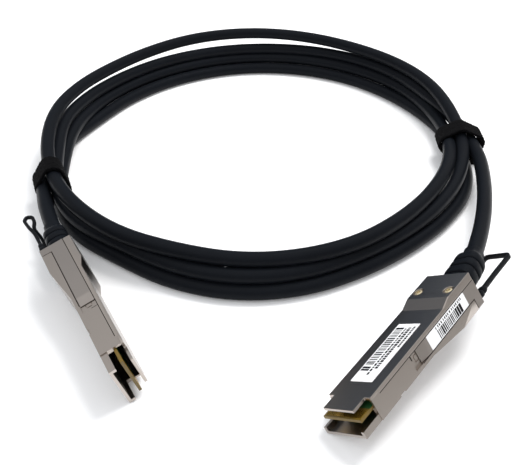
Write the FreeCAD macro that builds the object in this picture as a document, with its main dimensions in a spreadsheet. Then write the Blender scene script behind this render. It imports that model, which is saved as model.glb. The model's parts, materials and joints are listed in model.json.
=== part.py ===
"""A direct attach copper cable: two pluggable metal-shelled ends on one coiled cable.

The frame: millimetres, +Z up, the table at z = 0, the origin under the middle of the two plugs.
Each plug is modelled along its own axis, x from the tip of its lower tongue to its rear,
y across and z up, and is then laid on the table by the Placement of its sub-parts.
"""
import FreeCAD, Part
import Sketcher
import math
import os
import re

Vector = FreeCAD.Vector
doc = FreeCAD.newDocument("DirectAttachCable")
sheet = doc.addObject("Spreadsheet::Sheet", "Sizes")

SIZES = [
    # the shells of a plug
    ("plug_length", 70.4, "tip of the lower tongue to the rear face"),
    ("body_width", 18.35, "across both side walls"),
    ("front_height", 8.5, "height of the part that enters the cage"),
    ("rear_height", 10.0, "height of the raised rear of the cover"),
    ("shoulder", 8.0, "where the side walls begin"),
    ("tongue_width", 17.6, "width of the lower tongue"),
    ("lip_height", 2.4, "height of the lower tongue's side lips"),
    ("cover_tongue_width", 13.3, "width of the cover's tongue"),
    ("cover_tongue_tip", 2.1, "front edge of the cover's tongue"),
    ("raised_length", 14.2, "raised rear of the cover"),
    ("slope_length", 4.7, "slope in front of the raised rear"),
    ("belly_length", 14.4, "lowered rear of the underside"),
    ("belly_slope", 18.0, "slope in front of the lowered rear"),
    ("belly_depth", 2.67, "how far the underside drops"),
    ("skirt_start", 11.7, "front end of the cover's side skirts"),
    ("seam_high", 7.0, "lower edge of the skirts"),
    ("seam_low", 1.4, "lower edge of the slider arms"),
    ("floor_thickness", 1.0, "floor of the lower shell"),
    ("cover_thickness", 1.0, "plate of the cover"),
    ("belly_floor", 1.0, "floor of the belly"),
    ("lower_wall", 1.55, "side wall below the card"),
    ("upper_wall", 0.83, "side wall beside the card"),
    ("rear_wall_side", 2.95, "side wall behind the card, with the spring pocket"),
    ("front_bay_end", 30.0, "rear end of the wide front bay"),
    ("rear_wall", 3.0, "thickness of the rear wall"),
    ("overcut", 1.0, "how far a cut runs out past the metal"),
    ("notch_start", 18.5, "front of the keying notch in the underside"),
    ("notch_length", 2.6, "length of the keying notch"),
    ("notch_depth", 0.5, "depth of the keying notch"),
    ("tab_start", 30.8, "front of the U-shaped groove in the side recess"),
    ("tab_end", 32.4, "open end of that groove"),
    ("tab_low", 3.0, "lower edge of that groove"),
    ("tab_high", 5.5, "upper edge of that groove"),
    ("tab_groove", 0.35, "width of that groove"),
    ("tab_depth", 0.3, "depth of that groove"),
    ("belly_slot_start", 37.0, "front of the shallow slot in the belly's slope"),
    ("belly_slot_length", 5.4, "length of that slot"),
    ("belly_slot_width", 2.4, "width of that slot"),
    ("belly_slot_depth", 0.45, "depth of that slot, below the slope's start"),
    # the latch slider
    ("recess_start", 28.8, "front end of the side recess"),
    ("recess_depth", 0.9, "depth of the side recess"),
    ("arm_start", 32.7, "front tip of a slider arm"),
    ("sheet_thickness", 0.8, "sheet metal of the slider"),
    ("arm_gap", 0.08, "running gap above and below an arm"),
    ("ramp_length", 4.2, "length of the ramp at an arm's tip"),
    ("ramp_tip", 0.25, "thickness left at an arm's tip"),
    ("yoke_length", 3.7, "length of the yoke that joins the arms"),
    ("yoke_gap", 0.3, "gap between the yoke and the lower shell"),
    # the return springs, one in each side wall
    ("spring_setback", 24.4, "from the rear face to the front end of a spring pocket"),
    ("spring_length", 9.0, "length of a spring pocket"),
    ("spring_diameter", 1.5, "outside of a spring"),
    ("spring_wire", 0.3, "wire of a spring"),
    ("spring_turns", 5, "turns of a spring"),
    ("spring_runs", 8, "straight runs in each turn of a spring"),
    ("spring_height", 4.2, "height of a spring's axis"),
    ("spring_gap", 0.12, "room round a spring in its pocket"),
    ("tab_thickness", 0.8, "tab of an arm that pushes the spring"),
    ("weld_overlap", 0.5, "how far an arm runs into the yoke"),
    # cover screws
    ("screw_setback", 10.0, "from the rear face to the cover screws"),
    ("screw_inset", 2.575, "from a side face to the axis of a cover screw"),
    ("screw_shank", 1.4, "diameter of a screw's shank"),
    ("screw_head", 2.7, "diameter of a screw's head"),
    ("screw_head_height", 0.55, "height of a screw's head"),
    ("screw_length", 5.0, "shank below the head"),
    ("screw_recess", 3.7, "diameter of the recess round a head"),
    ("screw_recess_depth", 0.65, "depth of the recess round a head"),
    ("screw_clearance", 0.1, "room round a shank in the cover"),
    ("screw_tip_room", 0.3, "room below a screw's tip"),
    # the card
    ("card_side_gap", 0.135, "room beside the card's front"),
    ("card_thickness", 1.0, "thickness of the card"),
    ("card_height", 4.5, "underside of the card"),
    ("card_tip", 1.7, "front edge of the card"),
    ("card_step", 28.0, "where the card narrows"),
    ("card_rear_gap", 0.725, "room beside the card's rear"),
    ("card_end", 44.0, "rear edge of the card"),
    ("pad_pitch", 0.8, "pitch of the contact pads"),
    ("pad_margin", 0.5, "bare card at both ends of a row of pads"),
    ("pad_width", 0.54, "width of a contact pad"),
    ("pad_length", 3.4, "length of a contact pad"),
    ("pad_setback", 0.7, "from the card's edge to the pads"),
    ("pad_thickness", 0.06, "thickness of a contact pad"),
    ("chip_length", 3.0, "memory chip"),
    ("chip_width", 4.4, "memory chip"),
    ("chip_height", 1.0, "memory chip"),
    ("chip_setback", 8.0, "from the memory chip's front to the card's step"),
    ("resistor_length", 1.6, "small part behind the pads"),
    ("resistor_width", 0.8, "small part behind the pads"),
    ("resistor_height", 0.7, "small part behind the pads"),
    ("resistor_setback", 2.0, "from the small parts' front to the card's step"),
    # wires, ferrule and boot
    ("pair_diameter", 1.1, "across a shielded pair"),
    ("pair_gap", 0.02, "solder between a pair and the card"),
    ("pair_pack", 1.64, "height of a gathered layer of pairs, in their half thickness"),
    ("pair_crowd", 1.08, "spacing of the gathered pairs, in their diameter"),
    ("pair_overlap", 0.5, "how far the pairs reach into the ferrule"),
    ("pair_spacing", 2.5, "spacing of the pairs at the card"),
    ("solder_length", 2.2, "how far the pairs lie on the card"),
    ("pair_lead", 4.5, "straight start of a pair"),
    ("pair_entry", 4.0, "straight end of a pair in the ferrule"),
    ("ferrule_length", 5.0, "length of the ferrule"),
    ("ferrule_diameter", 7.0, "outside of the ferrule"),
    ("ferrule_wall", 0.6, "wall of the ferrule"),
    ("neck_width", 9.0, "width of the boot's neck in the rear wall"),
    ("neck_height", 7.2, "height of the boot's neck"),
    ("flange_thickness", 1.4, "inner flange of the boot"),
    ("flange_rim", 0.8, "how far the flange stands out from the neck"),
    ("boot_clearance", 0.05, "room round the boot's neck and flange"),
    ("boot_centre", 4.5, "height of the boot's axis"),
    ("boot_width", 11.6, "width of the boot's base"),
    ("boot_height", 8.4, "height of the boot's base"),
    ("boot_corner", 0.36, "corner radius of the boot, as a share of its height"),
    ("boot_facets", 3, "flats that round a corner of the boot"),
    ("boot_length", 22.0, "length of the boot behind the shell"),
    ("boot_collar", 2.6, "length of the collar against the shell"),
    ("boot_shoulder", 15.2, "where the boot's shoulder begins"),
    ("boot_shoulder_end", 17.6, "where the boot's shoulder ends"),
    ("boot_shoulder_width", 10.6, "width of the boot at its shoulder"),
    ("boot_shoulder_height", 9.2, "height of the boot at its shoulder"),
    ("boot_taper_width", 9.2, "width of the boot half way down its shoulder"),
    ("boot_taper_height", 8.6, "height of the boot half way down its shoulder"),
    ("boot_sleeve", 7.0, "sleeve of the boot round the cable"),
    ("boot_slots", 3, "grooves round the boot, the first behind the collar"),
    ("boot_slot", 0.8, "width of a groove"),
    ("boot_slot_depth", 0.55, "depth of a groove"),
    ("right_boot_bend", 20.0, "degrees that the right boot is bent"),
    ("right_boot_side", -2.0, "direction of that bend, from +y towards +z"),
    ("left_boot_bend", 11.0, "degrees that the left boot is bent"),
    ("left_boot_side", 134.0, "direction of that bend, from +y towards +z"),
    # the pull lanyards
    ("strap_width", 2.1, "width of a lanyard's strap"),
    ("strap_thickness", 1.3, "thickness of a lanyard's strap"),
    ("grip_width", 3.6, "moulded block of a lanyard on the yoke"),
    ("grip_length", 7.4, "moulded block behind the yoke"),
    ("grip_waist", 2.1, "from the yoke to the waist of the block"),
    ("grip_waist_depth", 0.3, "depth of the waist"),
    ("grip_height", 2.4, "moulded block behind the yoke"),
    ("loop_root", 5.9, "from the plug's middle to a leg of the lanyard, at the yoke"),
    ("loop_end", 5.2, "from the plug's middle to a leg of the lanyard, at its far end"),
    ("loop_reach", 28.4, "rear face to the far end of the lanyard"),
    ("loop_knee", 0.55, "where a leg bends, as a share of that reach"),
    ("loop_steps", 4, "short runs in each bend of a lanyard"),
    ("loop_corner", 1.6, "corner radius of the lanyard's far end"),
    ("right_loop_dip", 0.3, "how far the far end of the right lanyard hangs down"),
    ("left_loop_dip", 1.6, "how far the far end of the left lanyard hangs down"),
    # labels on the right plug
    ("label_thickness", 0.08, "paper label"),
    ("top_label_start", 14.8, "front edge of the top label"),
    ("top_label_length", 29.0, "top label"),
    ("top_label_width", 9.5, "top label"),
    ("side_label_start", 38.8, "front edge of the side label"),
    ("side_label_length", 24.2, "side label"),
    ("side_label_margin", 0.15, "bare metal above and below the side label"),
    # how the plugs lie
    ("right_x", 27.87, "tip of the right plug"),
    ("right_y", -48.73, "tip of the right plug"),
    ("right_z", 4.915, "tip of the right plug"),
    ("right_yaw", 50.3, "degrees"),
    ("right_pitch", -7.7, "degrees"),
    ("right_roll", -34.3, "degrees"),
    ("left_x", -42.68, "tip of the left plug"),
    ("left_y", -32.93, "tip of the left plug"),
    ("left_z", 8.442, "tip of the left plug"),
    ("left_yaw", 118.7, "degrees"),
    ("left_pitch", -2.1, "degrees"),
    ("left_roll", 72.3, "degrees"),
    # the cable
    ("cable_diameter", 6.4, "outside of the jacket"),
    ("tail_lead", 14.0, "straight start of a tail, in line with its boot"),
    ("coil_half_width", 98.35, "middle of the coil's bundle, across"),
    ("coil_half_depth", 111.5, "middle of the coil's bundle, front to back"),
    ("coil_end_less", 6.35, "half width less the radius of the coil's front and back"),
    ("coil_runs", 48, "short straight runs round the coil"),
    ("coil_x", 1.47, "centre of the coil"),
    ("coil_y", 134.87, "centre of the coil"),
    ("bundle_width", 15.0, "width of the tied bundle"),
    ("bundle_height", 19.0, "height of the tied bundle"),
    ("bundle_corner", 4.5, "corner radius of the bundle"),
    ("tie_width", 11.0, "width of a hook-and-loop tie"),
    ("tie_thickness", 1.2, "thickness of a tie"),
    ("tie_facets", 3, "flats that round a corner of a tie"),
    ("tie_gap", 0.3, "gap between a tie and the bundle"),
    ("tie_tab", 9.0, "free end of a tie"),
    ("tie_tab_width", 9.9, "width of the free end"),
    ("right_tie_angle", -4.4, "degrees round the coil's centre"),
    ("left_tie_angle", 201.3, "degrees round the coil's centre"),
]

for row, (alias, number, note) in enumerate(SIZES, start=1):
    sheet.set(f"A{row}", note)
    sheet.set(f"B{row}", str(number))
    sheet.setAlias(f"B{row}", alias)
doc.recompute()

# places along a plug, worked out from the sizes
PLACES = {
    "slope_end": "plug_length - raised_length",
    "slope_start": "plug_length - raised_length - slope_length",
    "belly_end": "plug_length - belly_length",
    "belly_start": "plug_length - belly_length - belly_slope",
    "yoke_start": "plug_length - yoke_length",
    "screw_place": "plug_length - screw_setback",
    "spring_start": "plug_length - spring_setback",
    "screw_side": "body_width/2 - screw_inset",
    "card_half": "body_width/2 - upper_wall - card_side_gap",
    "card_rear_half": "body_width/2 - rear_wall_side - card_rear_gap",
    "ferrule_start": "plug_length - rear_wall - flange_thickness - ferrule_length",
}
PLACE_PATTERN = re.compile(r"\b(" + "|".join(PLACES) + r")\b")
ALIAS_PATTERN = re.compile(r"\b(" + "|".join(alias for alias, _, _ in SIZES) + r")\b")


def bound(text):
    """An expression in the sheet's words, as FreeCAD reads it."""
    text = PLACE_PATTERN.sub(lambda found: f"({PLACES[found[1]]})", str(text))
    return ALIAS_PATTERN.sub(r"Sizes.\1", text)


def size(text):
    """The value of an expression in the sheet's words."""
    return float(sheet.evalExpression(bound(text)))


# ---------------------------------------------------------------- PartDesign helpers

def new_body(name):
    body = doc.addObject("PartDesign::Body", name)
    body.Label = name
    return body


def origin_plane(body, role):
    return next(item for item in body.Origin.OriginFeatures if item.Role == role)


def new_sketch(body, name, role, offset="0"):
    sketch = body.newObject("Sketcher::SketchObject", name)
    sketch.AttachmentSupport = (origin_plane(body, role), [""])
    sketch.MapMode = "FlatFace"
    sketch.setExpression("AttachmentOffset.Base.z", bound(offset))
    return sketch


def add_polygon(sketch, corners):
    """A closed outline whose corners are tied to the sheet."""
    first = sketch.GeometryCount
    points = [Vector(size(x), size(y), 0) for x, y in corners]
    count = len(points)
    for index in range(count):
        sketch.addGeometry(Part.LineSegment(points[index], points[(index + 1) % count]))
    for index in range(count):
        following = first + (index + 1) % count
        sketch.addConstraint(Sketcher.Constraint("Coincident", first + index, 2, following, 1))
    for index, (x, y) in enumerate(corners):
        for kind, text, number in (("DistanceX", x, points[index].x), ("DistanceY", y, points[index].y)):
            which = sketch.addConstraint(Sketcher.Constraint(kind, -1, 1, first + index, 1, number))
            sketch.setExpression(f"Constraints[{which}]", bound(text))


def add_rectangle(sketch, x_range, y_range):
    (x0, x1), (y0, y1) = x_range, y_range
    add_polygon(sketch, [(x0, y0), (x1, y0), (x1, y1), (x0, y1)])


def add_circle(sketch, x, y, radius):
    index = sketch.addGeometry(Part.Circle(Vector(size(x), size(y), 0), Vector(0, 0, 1), size(radius)))
    for kind, text in (("DistanceX", x), ("DistanceY", y)):
        which = sketch.addConstraint(Sketcher.Constraint(kind, -1, 1, index, 3, size(text)))
        sketch.setExpression(f"Constraints[{which}]", bound(text))
    which = sketch.addConstraint(Sketcher.Constraint("Radius", index, size(radius)))
    sketch.setExpression(f"Constraints[{which}]", bound(radius))


def extrude(body, kind, sketch, length, symmetric=False, backwards=False):
    """A Pad or a Pocket of a sketch, of a length in the sheet's words."""
    feature = body.newObject("PartDesign::" + kind, kind)
    feature.Profile = sketch
    feature.SideType = "Symmetric" if symmetric else "One side"
    feature.Reversed = backwards
    feature.setExpression("Length", bound(length))
    sketch.Visibility = False
    return feature


def side_profile(body, kind, name, corners, width):
    """A side view outline (x, z), as wide as given, even about the middle."""
    sketch = new_sketch(body, name, "XZ_Plane")
    add_polygon(sketch, corners)
    return extrude(body, kind, sketch, width, symmetric=True)


def cut_block(body, name, x_range, y_range, z_range):
    low, high = z_range
    sketch = new_sketch(body, name, "XY_Plane", high)
    add_rectangle(sketch, x_range, y_range)
    return extrude(body, "Pocket", sketch, f"({high}) - ({low})")


def add_block(body, name, x_range, y_range, z_range):
    low, high = z_range
    sketch = new_sketch(body, name, "XY_Plane", low)
    add_rectangle(sketch, x_range, y_range)
    return extrude(body, "Pad", sketch, f"({high}) - ({low})")


# ---------------------------------------------------------------- Part helpers

def bind_place(item, x, y, z):
    for axis, text in zip("xyz", (x, y, z)):
        item.setExpression("Placement.Base." + axis, bound(text))


def part_box(name, x_range, y_range, z_range):
    box = doc.addObject("Part::Box", name)
    for side, (low, high) in zip(("Length", "Width", "Height"), (x_range, y_range, z_range)):
        box.setExpression(side, bound(f"({high}) - ({low})"))
    bind_place(box, x_range[0], y_range[0], z_range[0])
    return box


def part_cylinder(name, radius, length, place, direction=Vector(0, 0, 1)):
    cylinder = doc.addObject("Part::Cylinder", name)
    cylinder.setExpression("Radius", bound(radius))
    cylinder.setExpression("Height", bound(length))
    cylinder.Placement = FreeCAD.Placement(Vector(), FreeCAD.Rotation(Vector(0, 0, 1), direction))
    bind_place(cylinder, *place)
    return cylinder


def boolean(kind, name, base, tool):
    result = doc.addObject("Part::" + kind, name)
    result.Base = base
    result.Tool = tool
    return result


def group(name, items):
    """Separate like solids as one sub-part."""
    compound = doc.addObject("Part::Compound", name)
    compound.Links = items
    compound.Label = name
    return compound


# ---------------------------------------------------------------- the shells

def bottom_shell(name):
    body = new_body(name)
    side_profile(body, "Pad", "Hull", [
        ("0", "0"),
        ("belly_start", "0"),
        ("belly_end", "-belly_depth"),
        ("yoke_start - yoke_gap", "-belly_depth"),
        ("yoke_start - yoke_gap", "sheet_thickness + yoke_gap - belly_depth"),
        ("plug_length - sheet_thickness - yoke_gap", "sheet_thickness + yoke_gap - belly_depth"),
        ("plug_length - sheet_thickness - yoke_gap", "yoke_gap"),
        ("plug_length", "yoke_gap"),
        ("plug_length", "seam_high"),
        ("skirt_start", "seam_high"),
        ("skirt_start", "front_height - cover_thickness"),
        ("shoulder", "front_height - cover_thickness"),
        ("shoulder", "lip_height"),
        ("0", "lip_height"),
    ], "body_width")
    beyond = "body_width/2 + overcut"
    for side in ("", "-"):
        cut_block(body, "TongueSide", ("-overcut", "shoulder"),
                  (f"{side}tongue_width/2", f"{side}({beyond})"), ("-overcut", "lip_height + overcut"))
    top = "front_height"
    inner = "body_width/2 - lower_wall"
    cut_block(body, "FrontBay", ("-overcut", "front_bay_end"), (f"-({inner})", inner),
              ("floor_thickness", top))
    inner = "body_width/2 - upper_wall"
    cut_block(body, "CardBay", ("shoulder - overcut", "front_bay_end"), (f"-({inner})", inner),
              ("card_height", top))
    inner = "body_width/2 - rear_wall_side"
    cut_block(body, "RearBay", ("front_bay_end - overcut", "plug_length - rear_wall"),
              (f"-({inner})", inner), ("floor_thickness", top))
    cut_block(body, "BellyBay", ("belly_end + belly_floor", "yoke_start - yoke_gap - belly_floor"),
              (f"-({inner})", inner), ("belly_floor - belly_depth", top))
    cut_block(body, "NeckOpening", ("plug_length - rear_wall - overcut", "plug_length + overcut"),
              ("-neck_width/2", "neck_width/2"), ("boot_centre - neck_height/2", top))
    for side in ("", "-"):
        posts = (f"{side}(screw_side - screw_recess/2)", f"{side}(body_width/2 - recess_depth)")
        add_block(body, "ScrewPost", ("screw_place - screw_recess/2", "screw_place + screw_recess/2"), posts,
                  ("floor_thickness - floor_thickness/2", "rear_height - cover_thickness"))
    holes = new_sketch(body, "ScrewHoles", "XY_Plane", "rear_height")
    for side in ("", "-"):
        add_circle(holes, "screw_place", f"{side}screw_side", "screw_shank/2")
    extrude(body, "Pocket", holes, "screw_length + screw_recess_depth + screw_tip_room")
    for side in ("", "-"):
        wall = (f"{side}(body_width/2 - recess_depth)", f"{side}({beyond})")
        cut_block(body, "ArmRecess", ("recess_start", "plug_length + overcut"), wall,
                  ("seam_low - arm_gap", "seam_high + overcut"))
        cut_block(body, "YokeRecess", ("yoke_start - yoke_gap", "plug_length + overcut"), wall,
                  ("-belly_depth - overcut", "seam_low + overcut"))
        pocket = "body_width/2 - recess_depth - spring_diameter - spring_gap"
        half = "(spring_diameter/2 + spring_gap)"
        cut_block(body, "SpringPocket", ("spring_start", "spring_start + spring_length"),
                  (f"{side}({pocket})", f"{side}({beyond})"),
                  (f"spring_height - {half}", f"spring_height + {half}"))
    floor_side = "body_width/2 - recess_depth"
    for side in ("", "-"):
        face = (f"{side}({floor_side} - tab_depth)", f"{side}({floor_side} + overcut/4)")
        for low, high in (("tab_low", "tab_low + tab_groove"), ("tab_high - tab_groove", "tab_high")):
            cut_block(body, "TabGroove", ("tab_start", "tab_end"), face, (low, high))
        cut_block(body, "TabGroove", ("tab_start", "tab_start + tab_groove"), face, ("tab_low", "tab_high"))
    cut_block(body, "BellySlot", ("belly_slot_start", "belly_slot_start + belly_slot_length"),
              ("-belly_slot_width/2", "belly_slot_width/2"), ("-belly_depth - overcut", "belly_slot_depth"))
    cut_block(body, "KeyNotch", ("notch_start", "notch_start + notch_length"), (f"-({beyond})", beyond),
              ("-overcut", "notch_depth"))
    return body


def top_cover(name):
    body = new_body(name)
    side_profile(body, "Pad", "CoverSide", [
        ("cover_tongue_tip", "front_height - cover_thickness"),
        ("cover_tongue_tip", "front_height"),
        ("slope_start", "front_height"),
        ("slope_end", "rear_height"),
        ("plug_length", "rear_height"),
        ("plug_length", "seam_high"),
        ("skirt_start", "seam_high"),
        ("skirt_start", "front_height - cover_thickness"),
    ], "body_width")
    side_profile(body, "Pocket", "CoverInside", [
        ("skirt_start - overcut", "seam_high - overcut"),
        ("skirt_start - overcut", "front_height - cover_thickness"),
        ("slope_start", "front_height - cover_thickness"),
        ("slope_end", "rear_height - cover_thickness"),
        ("plug_length - rear_wall", "rear_height - cover_thickness"),
        ("plug_length - rear_wall", "seam_high - overcut"),
    ], "body_width - 2*recess_depth")
    cut_block(body, "NeckNotch", ("plug_length - rear_wall - overcut", "plug_length + overcut"),
              ("-neck_width/2", "neck_width/2"), ("seam_high - overcut", "boot_centre + neck_height/2"))
    for side in ("", "-"):
        cut_block(body, "TongueSide", ("-overcut", "shoulder"),
                  (f"{side}cover_tongue_width/2", f"{side}(body_width/2 + overcut)"),
                  ("seam_high - overcut", "front_height + overcut"))
    recesses = new_sketch(body, "ScrewRecesses", "XY_Plane", "rear_height")
    holes = new_sketch(body, "ScrewHoles", "XY_Plane", "rear_height")
    for side in ("", "-"):
        add_circle(recesses, "screw_place", f"{side}screw_side", "screw_recess/2")
        add_circle(holes, "screw_place", f"{side}screw_side", "screw_shank/2 + screw_clearance")
    extrude(body, "Pocket", recesses, "screw_recess_depth")
    extrude(body, "Pocket", holes, "cover_thickness + overcut")
    return body


def cover_screws(name):
    screws = []
    seat = "rear_height - screw_recess_depth"
    for side in ("", "-"):
        y = f"{side}screw_side"
        head = part_cylinder(name + "_head", "screw_head/2", "screw_head_height", ("screw_place", y, seat))
        shank = part_cylinder(name + "_shank", "screw_shank/2", "screw_length",
                              ("screw_place", y, f"{seat} - screw_length"))
        screws.append(boolean("Fuse", name + "_one", head, shank))
    return group(name, screws)


# ---------------------------------------------------------------- the latch slider

def latch_slider(name):
    """Two arms in the side recesses, joined behind and below by a yoke."""
    body = new_body(name)
    outer = "body_width/2"
    inner = "body_width/2 - sheet_thickness"
    low = "seam_low"
    high = "seam_high - arm_gap"
    sketch = new_sketch(body, "YokeSection", "YZ_Plane", "yoke_start")
    bottom = "-belly_depth"
    add_polygon(sketch, [
        (f"-{outer}", bottom), (outer, bottom), (outer, high), (inner, high),
        (inner, f"{bottom} + sheet_thickness"), (f"-({inner})", f"{bottom} + sheet_thickness"),
        (f"-({inner})", high), (f"-{outer}", high)])
    extrude(body, "Pad", sketch, "plug_length - yoke_start")
    add_block(body, "RearLip", ("plug_length - sheet_thickness", "plug_length"), (f"-{outer}", outer),
              (bottom, "0"))
    for side in ("", "-"):
        arm = new_sketch(body, "Arm", "XY_Plane", low)
        add_polygon(arm, [
            ("arm_start", f"{side}({inner})"),
            ("yoke_start + weld_overlap", f"{side}({inner})"),
            ("yoke_start + weld_overlap", f"{side}{outer}"),
            ("arm_start + ramp_length", f"{side}{outer}"),
            ("arm_start", f"{side}({inner} + ramp_tip)")])
        extrude(body, "Pad", arm, f"{high} - ({low})")
        tab = "spring_start + spring_gap"
        add_block(body, "SpringTab", (tab, f"{tab} + tab_thickness"),
                  (f"{side}({inner} - recess_depth + sheet_thickness - spring_diameter)",
                   f"{side}({inner} + sheet_thickness/4)"),
                  ("spring_height - spring_diameter/2", "spring_height + spring_diameter/2"))
    return body


def return_springs(name):
    """A coil spring in each side wall, between the shell and the arm's tab."""
    springs = []
    wire = size("spring_wire")
    front = size("spring_start + spring_gap + tab_thickness") + wire / 2
    rise = size("spring_start + spring_length") - wire / 2 - front
    radius = size("spring_diameter/2") - wire / 2
    turns, runs = int(size("spring_turns")), int(size("spring_runs"))
    corners = [Vector(x * wire / 2, 0, radius + z * wire / 2)
               for x, z in ((1, 1), (1, -1), (-1, -1), (-1, 1))]
    aside = size("body_width/2 - recess_depth - spring_diameter/2")
    for side in (1, -1):
        middle = Vector(front, side * aside, size("spring_height"))
        rings = []
        for index in range(turns * runs + 1):
            turn = FreeCAD.Rotation(Vector(1, 0, 0), 360 * index / runs)
            ring = Part.makePolygon(corners + corners[:1])
            ring.Placement = FreeCAD.Placement(middle + Vector(rise * index / (turns * runs), 0, 0), turn)
            rings.append(ring)
        springs.append(Part.makeLoft(rings, True, True))
    node = doc.addObject("Part::Feature", name)
    node.Shape = Part.makeCompound(springs)
    node.Label = name
    return node


def faceted_section(width, height, corner, place, rotation, facets=1):
    """A rectangle across the x axis of a frame, its corners rounded by a few flats each."""
    y, z = width / 2 - corner, height / 2 - corner
    points = []
    for quarter, (side, level) in enumerate(((1, 1), (-1, 1), (-1, -1), (1, -1))):
        for step in range(facets + 1):
            turn = math.pi / 2 * (quarter + step / facets)
            points.append(Vector(0, side * y + corner * math.cos(turn),
                                 level * z + corner * math.sin(turn)))
    wire = Part.makePolygon(points + points[:1])
    wire.Placement = FreeCAD.Placement(place, rotation)
    return wire


def heading(along):
    """The turn that takes the x axis to a direction and keeps the y axis level."""
    rise = math.asin(along.z / along.Length)
    return FreeCAD.Rotation(math.degrees(math.atan2(along.y, along.x)), -math.degrees(rise), 0)


def grip_block(y):
    """A moulded block behind the yoke, with a waist near it."""
    wide, high = size("grip_width"), size("grip_height")
    waist, deep, length = size("grip_waist"), size("grip_waist_depth"), size("grip_length")
    rings = []
    for x, less in ((0, 0), (waist - deep, 0), (waist, deep), (waist + 2 * deep, 0),
                    (length - 2 * deep, deep), (length, 2 * deep)):
        place = Vector(size("plug_length") + x, y, size("-belly_depth") + high / 2)
        rings.append(faceted_section(wide - 2 * less, high - 2 * less, high / 4 - less / 2, place,
                                     FreeCAD.Rotation()))
    return Part.makeLoft(rings, True, True)


def pull_lanyard(name, side):
    """A moulded strap, bent like a stirrup behind the yoke, on two blocks that grip its lip."""
    lip = size("plug_length")
    middle = size("-belly_depth + grip_height/2")
    reach, root, end = size("loop_reach"), size("loop_root"), size("loop_end")
    low = middle - size(side + "_loop_dip")
    start, knee = size("grip_length/2"), reach * size("loop_knee")
    points = [Vector(lip + x, y, z) for x, y, z in (
        (start, -root, middle), (knee, (-root - end) / 2, middle), (reach, -end, low),
        (reach, end, low), (knee, (root + end) / 2, middle), (start, root, middle))]
    path = rounded_path(points, corner=size("loop_corner"))
    rings = []
    for edge in path.Edges:
        first, length = edge.FirstParameter, edge.LastParameter - edge.FirstParameter
        steps = int(size("loop_steps")) if isinstance(edge.Curve, Part.Circle) else 1
        for step in range(1 if rings else 0, steps + 1):
            parameter = first + length * step / steps
            rings.append(faceted_section(size("strap_thickness"), size("strap_width"),
                                         size("strap_thickness/4"), edge.valueAt(parameter),
                                         heading(edge.tangentAt(parameter))))
    node = doc.addObject("Part::Feature", name)
    node.Shape = Part.makeLoft(rings, True, True).fuse([grip_block(root), grip_block(-root)])
    node.Label = name
    return node


# ---------------------------------------------------------------- the card and its wires

def paddle_card(name):
    body = new_body(name)
    sketch = new_sketch(body, "CardOutline", "XY_Plane", "card_height")
    half = "card_half"
    rear = "card_rear_half"
    add_polygon(sketch, [
        ("card_tip", f"-{half}"), ("card_step", f"-{half}"), ("card_step", f"-{rear}"),
        ("card_end", f"-{rear}"), ("card_end", rear), ("card_step", rear),
        ("card_step", half), ("card_tip", half)])
    extrude(body, "Pad", sketch, "card_thickness")
    return body


def contact_pads(name):
    pads = []
    count = int(size("2*(card_half - pad_margin)/pad_pitch"))
    for height in ("card_height - pad_thickness", "card_height + card_thickness"):
        for index in range(count):
            middle = f"({index - (count - 1) / 2})*pad_pitch"
            pads.append(part_box(name + "_pad",
                                 ("card_tip + pad_setback", "card_tip + pad_setback + pad_length"),
                                 (f"{middle} - pad_width/2", f"{middle} + pad_width/2"),
                                 (height, f"{height} + pad_thickness")))
    return group(name, pads)


def card_chips(name):
    top = "card_height + card_thickness"
    front = "card_step - chip_setback"
    chips = [part_box(name + "_memory", (front, f"{front} + chip_length"),
                      ("-chip_width/2", "chip_width/2"), (top, f"{top} + chip_height"))]
    front = "card_step - resistor_setback"
    for index in range(4):
        y = f"({index} - 1.5)*pair_spacing"
        chips.append(part_box(name + "_part", (front, f"{front} + resistor_length"),
                              (f"{y} - resistor_width/2", f"{y} + resistor_width/2"),
                              (top, f"{top} + resistor_height")))
    return group(name, chips)


def twinax_pairs(name):
    """Eight shielded pairs, four on each face of the card, gathered into the ferrule."""
    pairs = []
    radius = size("pair_diameter/2")
    start = size("card_end - solder_length")
    end = size("ferrule_start + pair_overlap")
    for level in (1, -1):
        height = size("card_height + card_thickness/2")
        height += level * (size("card_thickness/2 + pair_gap") + radius)
        for index in range(4):
            y = (index - 1.5) * size("pair_spacing")
            inside = (index - 1.5) * size("pair_diameter*pair_crowd")
            gathered = size("boot_centre") + level * radius * size("pair_pack")
            points = [Vector(start, y, height), Vector(start + size("pair_lead"), y, height),
                      Vector(end - size("pair_entry"), inside, gathered), Vector(end, inside, gathered)]
            rings = [faceted_section(2 * radius, 2 * radius, radius / 2, point, FreeCAD.Rotation())
                     for point in points]
            pairs.append(Part.makeLoft(rings, True, True))
    node = doc.addObject("Part::Feature", name)
    node.Shape = Part.makeCompound(pairs)
    node.Label = name
    return node


def crimp_ferrule(name):
    place = ("ferrule_start", "0", "boot_centre")
    outer = part_cylinder(name + "_outer", "ferrule_diameter/2", "ferrule_length", place, Vector(1, 0, 0))
    inner = part_cylinder(name + "_bore", "ferrule_diameter/2 - ferrule_wall", "ferrule_length", place,
                          Vector(1, 0, 0))
    return group(name, [boolean("Cut", name + "_ring", outer, inner)])


# ---------------------------------------------------------------- the boot

def boot_frames(side):
    """Points and directions along the bent middle line of a boot, in the plug's own frame."""
    bend = math.radians(size(side + "_boot_bend"))
    turn = math.radians(size(side + "_boot_side"))
    length = size("boot_length")
    radius = length / bend
    aside = Vector(0, math.cos(turn), math.sin(turn))
    start = Vector(size("plug_length"), 0, size("boot_centre"))

    def frame(along):
        angle = max(0.0, along) / radius
        place = start + Vector(radius * math.sin(angle) + min(0.0, along), 0, 0)
        place = place + aside * (radius * (1 - math.cos(angle)))
        axis = Vector(0, -aside.z, aside.y)
        return place, FreeCAD.Rotation(axis, math.degrees(angle))
    return frame


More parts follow.
